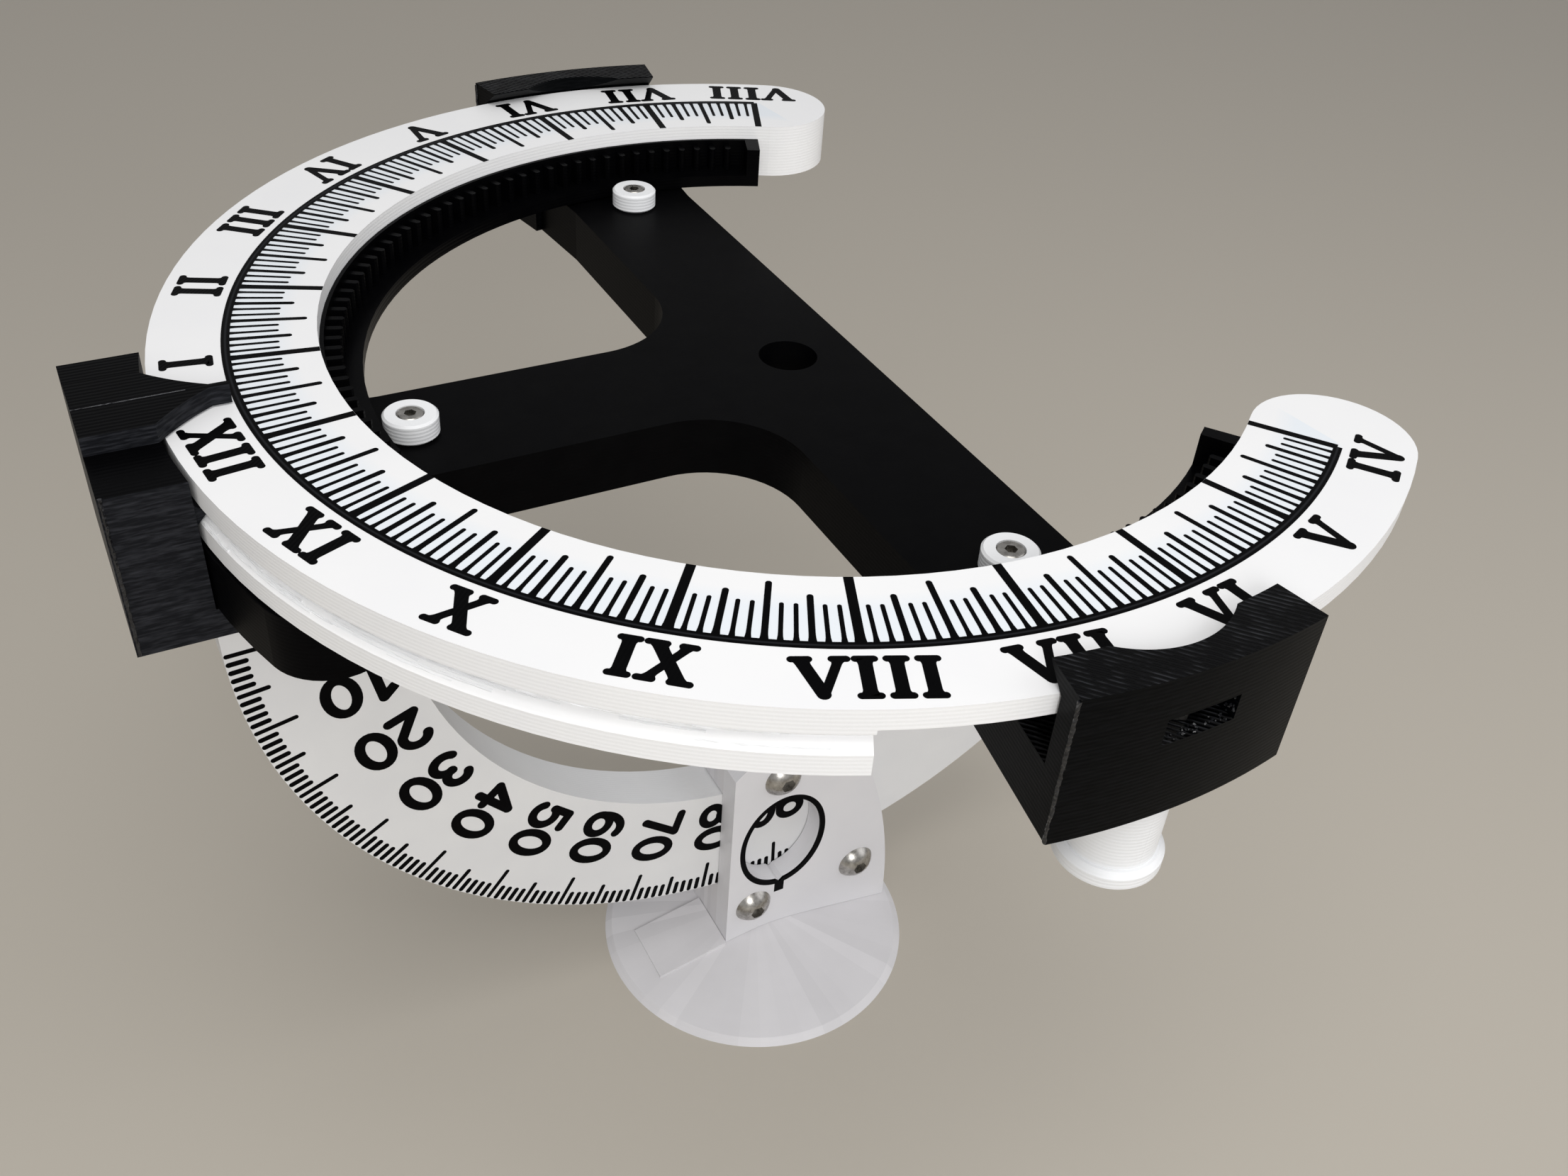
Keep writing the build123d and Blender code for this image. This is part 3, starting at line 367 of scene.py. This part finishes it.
def makeHourMarks(size):
    bm = bmesh.new()
    first = bm.verts.new((size["lineInner"], 0, 0))
    last = bm.verts.new((size["lineOuter"], 0, 0))
    line = bm.edges.new((first, last))
    bmesh.ops.rotate(bm, verts=(first, last), cent=(0, 0, 0),
                     matrix=Matrix.Rotation(math.radians(-size["lineEnd"]), 3, "Z"))
    bmesh.ops.spin(bm, geom=[first, last, line], cent=(0, 0, 0), axis=(0, 0, 1),
                   angle=math.radians(2 * size["lineEnd"]), steps=size["lineSteps"])
    ticks = round(size["lineEnd"] / size["fiveMinutes"])
    for tick in range(-ticks, ticks + 1):
        kind = "five"
        for every, name in ((3, "quarter"), (6, "half"), (12, "hour")):
            if tick % every == 0:
                kind = name
        inner, half = size[kind]
        outer, spread = size["tickOuter"], size["flareSpread"]
        turn = Matrix.Rotation(math.radians(tick * size["fiveMinutes"]), 2)
        if abs(tick) < ticks:                  # the plastic spreads where a tick meets the line
            side = arcPoints((size["flareStart"], half + spread), (outer - size["flareStart"], spread), -90, 0, 4)
        else:
            side = [Vector((outer, half))]
        if kind == "hour":                     # an hour tick runs off the edge of the ring
            end = [Vector((inner, half))]
        else:
            end = arcPoints((inner + half, 0), (half, half), 180, 90, 4)
        side = end + side
        other = [Vector((point.x, -point.y)) for point in reversed(side) if point.y > half / 10]
        addShape(bm, [turn @ point for point in side + other])
    mesh = raiseInlay(bm, "hour_marks")
    return finishPiece(mesh, "hour_marks", prints["blackPlaLine"], "hour_ring", ringPlace)


makeHourMarks(hourMarks)
print("hour marks made")

# Roman numerals with slab serifs, drawn in millimetres with u to the right and v up
roman = {
    "baseReach": 88.4, "height": 6.8, "serif": 0.5, "thick": 0.78, "thin": 0.54, "bracket": 0.62,
    "letterGap": 0.45, "point": (3.4, 0.75), "widths": {"I": 2.95, "V": 6.8, "X": 6.6}}
hourNames = {0: "XII"}
hourNames.update({-hour: name for hour, name in enumerate(("I", "II", "III", "IV", "V", "VI", "VII", "VIII"), 1)})
hourNames.update({hour: name for hour, name in enumerate(("XI", "X", "IX", "VIII", "VII", "VI", "V", "IV"), 1)})
# Each letter's strokes: half width's name, lower end, upper end; None stands for its serif's level
letterStrokes = {
    "I": (("thick", (1.475, None), (1.475, None)),),
    "V": (("thick", (3.4, 0.75), (1.35, None)), ("thin", (3.5, 0.75), (5.55, None))),
    "X": (("thick", (5.05, None), (1.5, None)), ("thin", (1.45, None), (4.95, None)))}
# Each letter's serifs: which stroke, left end, right end, top or bottom
letterSerifs = {
    "I": ((0, 0.0, 2.95, "top"), (0, 0.0, 2.95, "bottom")),
    "V": ((0, 0.0, 2.75, "top"), (1, 4.35, 6.8, "top")),
    "X": ((0, 0.0, 2.9, "top"), (1, 3.75, 6.1, "top"), (1, 0.1, 2.6, "bottom"), (0, 3.65, 6.6, "bottom"))}


# A serif is a round bar, hollowed into its stroke on both sides along the stroke's lean
def addSerif(bm, place, left, right, stroke, at, size):
    low, high, half = stroke
    lean = (high.x - low.x) / (high.y - low.y)
    middle, v = high if at == "top" else low
    towards = -1 if at == "top" else 1
    half *= math.hypot(1, lean)
    addBar(bm, place(left + size["serif"], v), place(right - size["serif"], v), size["serif"])
    level = v + towards * size["serif"] * 0.7
    sides = []
    for side, end in ((-1, left), (1, right)):
        wide = min(size["bracket"], side * (end - middle) - half - size["serif"] * 0.6)
        foot = middle + side * (half + wide)
        curve = arcPoints((foot, level + towards * size["bracket"]), (-side * wide, -towards * size["bracket"]), 90, 0, 5)
        sides.append([Vector((foot, v))] + curve)
    addShape(bm, [place(point.x + lean * (point.y - v), point.y) for point in sides[0] + sides[1][::-1]])


def addLetter(bm, letter, left, place, size):
    levels = {"top": size["height"] - size["serif"], "bottom": size["serif"]}
    strokes = []
    for name, low, high in letterStrokes[letter]:
        start = Vector((left + low[0], low[1] or levels["bottom"]))
        end = Vector((left + high[0], levels["top"]))
        addStrip(bm, place(*start), place(*end), size[name])
        strokes.append((start, end, size[name]))
    if letter == "V":                          # its point is round
        addDisc(bm, place(left + size["point"][0], size["point"][1]), size["thick"])
    for stroke, start, end, at in letterSerifs[letter]:
        addSerif(bm, place, left + start, left + end, strokes[stroke], at, size)


def makeNumerals(size):
    bm = bmesh.new()
    for hour, name in hourNames.items():
        angle = math.radians(15 * hour)
        outward = Vector((math.cos(angle), math.sin(angle)))
        right = Vector((-math.sin(angle), math.cos(angle)))
        gaps = [size["letterGap"] if a == b == "I" else 0 for a, b in zip(name, name[1:])] + [0]
        left = -(sum(size["widths"][letter] for letter in name) + sum(gaps)) / 2
        for letter, gap in zip(name, gaps):
            addLetter(bm, letter, left, lambda u, v: right * u + outward * (size["baseReach"] - v), size)
            left += size["widths"][letter] + gap
    mesh = raiseInlay(bm, "hour_numerals")
    return finishPiece(mesh, "hour_numerals", prints["blackPlaInlay"], "hour_ring", ringPlace)


makeNumerals(roman)
print("hour numerals made")

# Latitude scale on the bow's front: ticks for 1, 5 and 10 degrees, and numbers that read outwards
bowScale = {
    "last": 94, "offset": 1.8, "outer": 88.75, "one": (85.6, 0.44), "five": (83.9, 0.4), "ten": (82.1, 0.38),
    "numberTurn": 0.1, "digitWidth": 6.1, "digitHeight": 8.5, "stroke": 0.84, "tensReach": 69.5, "onesReach": 75.6,
    "level": 90, "levelReach": 72.2}
# Strokes of the digits in shares of their width and height: lines by their points, arcs by
# centre, radii and the two angles
digitStrokes = {
    "0": ((0.5, 0.5, 0.5, 0.5, 0, 360),),
    "1": (((0.62, 0), (0.62, 1), (0.18, 0.8)),),
    "2": ((0.5, 0.72, 0.46, 0.28, 165, -25), ((0.92, 0.6), (0.04, 0), (1, 0))),
    "3": ((0.47, 0.76, 0.42, 0.24, 155, -90), (0.47, 0.27, 0.5, 0.27, 90, -150)),
    "4": (((0.72, 0), (0.72, 1), (0, 0.27), (1, 0.27)),),
    "5": (((0.9, 1), (0.17, 1), (0.1, 0.5)), (0.48, 0.32, 0.5, 0.32, 138, -150)),
    "6": ((0.5, 0.3, 0.5, 0.3, 0, 360), (0.66, 0.42, 0.66, 0.58, 190, 68)),
    "7": (((0, 1), (1, 1), (0.4, 0)),),
    "8": ((0.5, 0.76, 0.43, 0.24, 0, 360), (0.5, 0.27, 0.5, 0.27, 0, 360)),
    "9": ((0.5, 0.7, 0.5, 0.3, 0, 360), (0.34, 0.58, 0.66, 0.58, 10, -112))}


def addDigit(bm, digit, middle, along, upward, size):
    half = size["stroke"]
    wide, high = size["digitWidth"] - 2 * half, size["digitHeight"] - 2 * half
    for stroke in digitStrokes[digit]:
        if isinstance(stroke[0], tuple):
            points = [Vector(point) for point in stroke]
        else:
            points = arcPoints(stroke[:2], stroke[2:4], *stroke[4:], 28)
        placed = [middle + along * (point.x - 0.5) * wide + upward * (point.y - 0.5) * high for point in points]
        if isinstance(stroke[0], tuple):
            for start, end in zip(placed, placed[1:]):
                addBar(bm, start, end, half)
        else:
            addStroke(bm, placed, half)


def makeBowScale(size):
    bm = bmesh.new()
    for degree in range(size["last"] + 1):
        inner, half = size["ten"] if degree % 10 == 0 else size["five"] if degree % 5 == 0 else size["one"]
        angle = -math.radians(degree + size["offset"])
        outward = Vector((math.cos(angle), math.sin(angle)))
        addBar(bm, outward * (inner + half), outward * (size["outer"] - half), half, 12)
    finishPiece(raiseInlay(bm, "latitude_marks"), "latitude_marks", prints["blackPlaInlay"], "head", bowPlace)
    bm = bmesh.new()
    for degree in range(10, size["last"] + 1, 10):
        angle = -math.radians(degree + size["offset"] + size["numberTurn"])
        outward = Vector((math.cos(angle), math.sin(angle)))
        upward = Vector((math.sin(angle), -math.cos(angle)))
        for digit, reach, side in zip(str(degree), (size["tensReach"], size["onesReach"]), (1, -1)):
            if degree < size["level"]:
                addDigit(bm, digit, outward * reach, outward, upward, size)
            else:                              # the last number lies along its arc, its top outwards
                middle = outward * size["levelReach"] + upward * side * size["digitWidth"] / 2
                addDigit(bm, digit, middle, -upward, outward, size)
    finishPiece(raiseInlay(bm, "latitude_numerals"), "latitude_numerals", prints["blackPlaInlay"], "head",
                bowPlace)


makeBowScale(bowScale)
print("latitude scale made")


# The edges at some points, each once and always in the same order
def edgesOf(verts):
    return list(dict.fromkeys(edge for vert in verts for edge in vert.link_edges))


# A thin uneven string of plastic along an arc about the dial axis, from one angle to another
def addString(bm, chance, reach, level, start, end, thickness, roughness):
    ring = bmesh.ops.create_circle(bm, segments=6, radius=thickness)["verts"]
    bmesh.ops.rotate(bm, verts=ring, cent=(0, 0, 0), matrix=Matrix.Rotation(math.pi / 2, 3, "X"))
    bmesh.ops.translate(bm, verts=ring, vec=(reach, 0, level))
    bmesh.ops.rotate(bm, verts=ring, cent=(0, 0, 0), matrix=Matrix.Rotation(math.radians(start), 3, "Z"))
    known = set(bm.verts) - set(ring)
    edges = edgesOf(ring)
    bmesh.ops.spin(bm, geom=ring + edges, cent=(0, 0, 0), axis=(0, 0, 1), angle=math.radians(end - start),
                   steps=max(3, round(abs(end - start) * 1.5)))
    for vert in [vert for vert in bm.verts if vert not in known]:
        vert.co += Vector([chance.uniform(-roughness, roughness) for axis in range(3)])
    bmesh.ops.holes_fill(bm, edges=[edge for edge in bm.edges if edge.is_boundary], sides=0)


# Where the supports were torn from the skirt's groove, strings and a rough stub stayed behind
grooveScars = {
    "seed": 7, "strings": 60, "from": -58.0, "to": 58.0, "length": (3.0, 11.0), "bottom": (88.55, -5.05),
    "up": 1.35, "thickness": (0.07, 0.16), "roughness": 0.05}


def makeGrooveScars(size):
    chance = random.Random(size["seed"])
    bm = bmesh.new()
    for string in range(size["strings"]):
        length = chance.uniform(*size["length"])
        start = chance.uniform(size["from"], size["to"] - length)
        climb = chance.uniform(0.0, 1.0) * size["up"]
        upper = chance.random() < 0.3
        level = size["bottom"][1] + (0.1 + climb if upper else -climb)
        addString(bm, chance, size["bottom"][0] + climb, level, start, start + length,
                  chance.uniform(*size["thickness"]), size["roughness"])
    bmesh.ops.recalc_face_normals(bm, faces=bm.faces)
    finishPiece(meshFrom(bm, "groove_strings"), "groove_strings", prints["whitePlaKnob"], "hour_ring",
                ringPlace)


makeGrooveScars(grooveScars)


# Glossy beads where each black wall's seam runs up an edge, greyer than the wall as a painted highlight: body, reach,
# angle, bottom and top
seams = {
    "seed": 3, "radius": 0.26, "roughness": 0.06, "step": 0.5,
    "lines": (("head", 94.1, 79.55, -18.7, 2.45), ("head", 94.1, -79.55, -18.7, 2.45),
              ("head", 100.5, 9.4, -23.1, 0.2))}


def makeSeams(size):
    chance = random.Random(size["seed"])
    bm = bmesh.new()
    for body, reach, angle, bottom, top in size["lines"]:
        foot = Matrix.Rotation(math.radians(angle), 3, "Z") @ Vector((reach - size["radius"] * 0.9, 0, bottom))
        ring = bmesh.ops.create_circle(bm, segments=7, radius=size["radius"], matrix=Matrix.Translation(foot))["verts"]
        known = set(bm.verts) - set(ring)
        edges = edgesOf(ring)
        for rise in range(round((top - bottom) / size["step"])):
            grown = bmesh.ops.extrude_edge_only(bm, edges=edges)["geom"]
            edges = [item for item in grown if isinstance(item, bmesh.types.BMEdge) and not item.link_faces[1:]]
            verts = [item for item in grown if isinstance(item, bmesh.types.BMVert)]
            bmesh.ops.translate(bm, verts=verts, vec=(0, 0, size["step"]))
        for vert in [vert for vert in bm.verts if vert not in known]:
            vert.co += Vector([chance.uniform(-1, 1) * size["roughness"] for axis in range(3)])
    bmesh.ops.holes_fill(bm, edges=[edge for edge in bm.edges if edge.is_boundary], sides=0)
    bmesh.ops.recalc_face_normals(bm, faces=bm.faces)
    finishPiece(meshFrom(bm, "block_seams"), "block_seams", prints["blackPlaSeamHighlight"], "head", dialPlace)


makeSeams(seams)

# Ragged crumbs that the supports left on the sill and one side of the clamp's slot, in the seams' material, whose grey
# is a painted highlight
slotCrumbs = {
    "seed": 11, "reach": 93.9, "sill": (-4.6, 5.0, -7.2), "side": (-5.05, -7.1, -3.7), "crumbs": 34, "sideCrumbs": 12,
    "size": (0.1, 0.26)}


def makeSlotCrumbs(size):
    chance = random.Random(size["seed"])
    bm = bmesh.new()
    places = [(chance.uniform(*size["sill"][:2]), size["sill"][2]) for crumb in range(size["crumbs"])]
    places += [(size["side"][0], chance.uniform(*size["side"][1:])) for crumb in range(size["sideCrumbs"])]
    for x, z in places:
        big = chance.uniform(*size["size"])
        y = math.sqrt(size["reach"] ** 2 - x ** 2) - chance.uniform(0.0, 1.6)
        grain = bmesh.ops.create_icosphere(bm, subdivisions=1, radius=big, matrix=Matrix.Translation((x, y, z)))["verts"]
        for vert in grain:
            vert.co += Vector([chance.uniform(-0.4, 0.4) * big for axis in range(3)])
    bmesh.ops.recalc_face_normals(bm, faces=bm.faces)
    finishPiece(meshFrom(bm, "slot_crumbs"), "slot_crumbs", prints["blackPlaSeamHighlight"], "head", dialPlace)


makeSlotCrumbs(slotCrumbs)

# The index line on the noon block has a burr along each side, coloured pale grey as a painted highlight
indexBurrs = {"seed": 5, "from": 85.95, "to": 99.25, "side": 0.2, "level": 2.87, "radius": 0.065, "roughness": 0.012}


def makeIndexBurrs(size):
    chance = random.Random(size["seed"])
    bm = bmesh.new()
    for side in (-1, 1):
        burr = bmesh.ops.create_cone(
            bm, cap_ends=True, segments=6, radius1=size["radius"], radius2=size["radius"],
            depth=size["to"] - size["from"], matrix=Matrix.Translation(
                ((size["from"] + size["to"]) / 2, side * size["side"], size["level"])) @ Matrix.Rotation(
                math.pi / 2, 4, "Y"))["verts"]
        lines = [edge for edge in edgesOf(burr) if edge.calc_length() > 1]
        bmesh.ops.subdivide_edges(bm, edges=lines, cuts=30)
    for vert in bm.verts:
        vert.co += Vector((0, chance.uniform(-1, 1), chance.uniform(-1, 1))) * size["roughness"]
    finishPiece(meshFrom(bm, "index_burrs"), "index_burrs", prints["blackPlaBurrHighlight"], "head", dialPlace)


makeIndexBurrs(indexBurrs)
print("print marks made")

# Floor, light and camera
stageSet = {"floorSize": 3.0, "floorColour": "#bdb6aa", "worldColour": "#f6f6f7", "world": 0.46}


def makeStage(size):
    bm = bmesh.new()
    bmesh.ops.create_grid(bm, x_segments=1, y_segments=1, size=size["floorSize"])
    mesh = meshFrom(bm, "floor")
    floor = bpy.data.objects.new("floor", mesh)
    bpy.context.scene.collection.objects.link(floor)
    material, shader = newMaterial("paleTable", {"Roughness": 0.6, "Base Color": linear(size["floorColour"])})
    mesh.materials.append(material)
    world = bpy.data.worlds.new("studio")
    bpy.context.scene.world = world
    world.use_nodes = True
    background = world.node_tree.nodes["Background"]
    background.inputs["Color"].default_value = linear(size["worldColour"])
    background.inputs["Strength"].default_value = size["world"]


lamps = {
    "key": {"place": (0.10, 0.22, 0.62), "aim": (0.0, 0.0, 0.11), "size": 0.38, "power": 1.35, "colour": "#fffefc"},
    "front": {"place": (0.20, 0.60, 0.42), "aim": (0.0, 0.0, 0.10), "size": 0.3, "power": 1.8, "colour": "#ffffff"},
    "side": {"place": (-0.55, 0.35, 0.40), "aim": (0.0, 0.0, 0.08), "size": 0.5, "power": 0.8, "colour": "#fafbff"}}


def makeLamp(name, size):
    light = bpy.data.lights.new(name, "AREA")
    light.shape = "SQUARE"
    light.size = size["size"]
    light.energy = size["power"]
    light.color = linear(size["colour"])[:3]
    lamp = bpy.data.objects.new(name, light)
    bpy.context.scene.collection.objects.link(lamp)
    lamp.location = size["place"]
    lamp.rotation_euler = (Vector(size["aim"]) - Vector(size["place"])).to_track_quat("-Z", "Y").to_euler()


cameraSet = {
    "place": (0.10142, 0.16917, 0.24045), "right": (-0.87965, 0.47101, 0.06604),
    "down": (0.24473, 0.56729, -0.78632), "forward": (-0.40783, -0.67553, -0.61427), "lens": 33.94}


def makeCamera(size):
    data = bpy.data.cameras.new("camera")
    data.lens = size["lens"]
    data.sensor_width = 36.0
    data.clip_start = 0.01
    camera = bpy.data.objects.new("camera", data)
    bpy.context.scene.collection.objects.link(camera)
    axes = Matrix((Vector(size["right"]), -Vector(size["down"]), -Vector(size["forward"]))).transposed()
    camera.matrix_world = Matrix.Translation(size["place"]) @ axes.to_4x4()
    bpy.context.scene.camera = camera


makeStage(stageSet)
for name, size in lamps.items():
    makeLamp(name, size)
makeCamera(cameraSet)
bpy.context.scene.view_settings.view_transform = "Standard"
print("stage, lamps and camera set")
